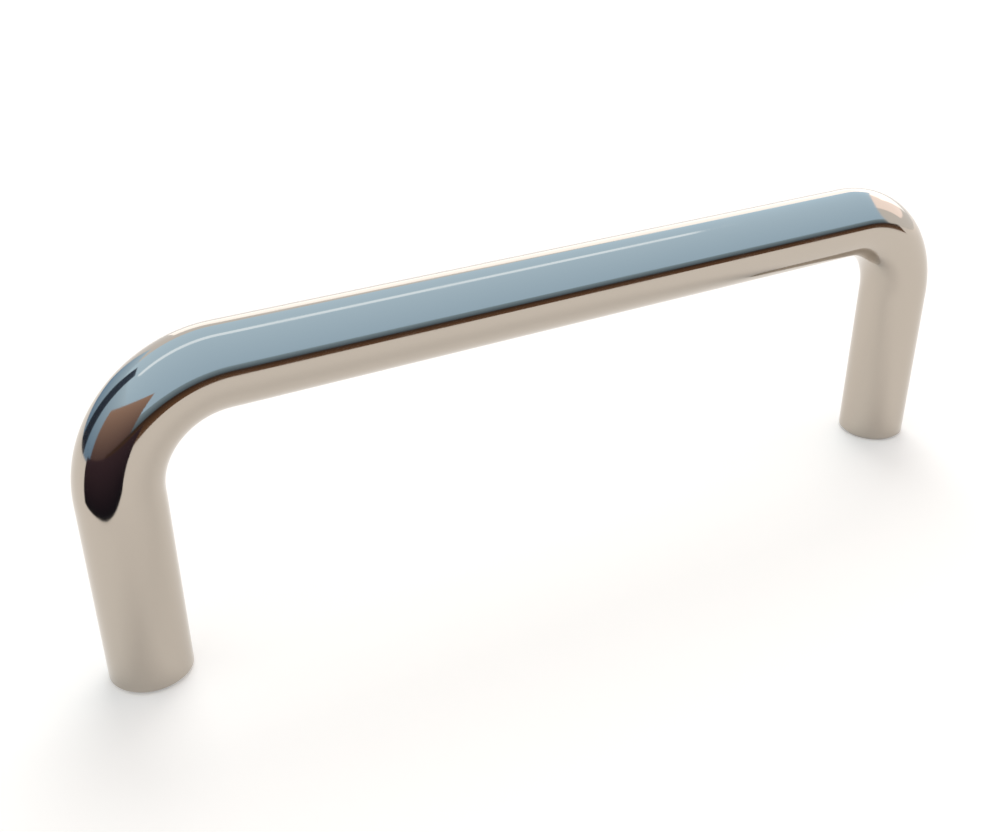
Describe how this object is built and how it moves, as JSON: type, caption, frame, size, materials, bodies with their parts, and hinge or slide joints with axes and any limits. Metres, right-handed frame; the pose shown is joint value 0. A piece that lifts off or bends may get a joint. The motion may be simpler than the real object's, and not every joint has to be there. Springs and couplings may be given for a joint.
{
  "type": "bridge pull handle",
  "caption": "Round-bar bridge pull handle bent in one piece, with a straight grip, two equal legs and a blind tapped hole in each foot.",
  "frame": {"origin": "midpoint between the two feet, on the surface that the handle is screwed to", "axes": "+X along the grip, +Y across the bar, +Z from the mounting surface out to the grip"},
  "size_m": [0.13, 0.01, 0.0425],
  "materials": {
    "polished_steel": "polished"
  },
  "bodies": {
    "root": {"pull_handle": "polished_steel"}
  },
  "joints": []
}
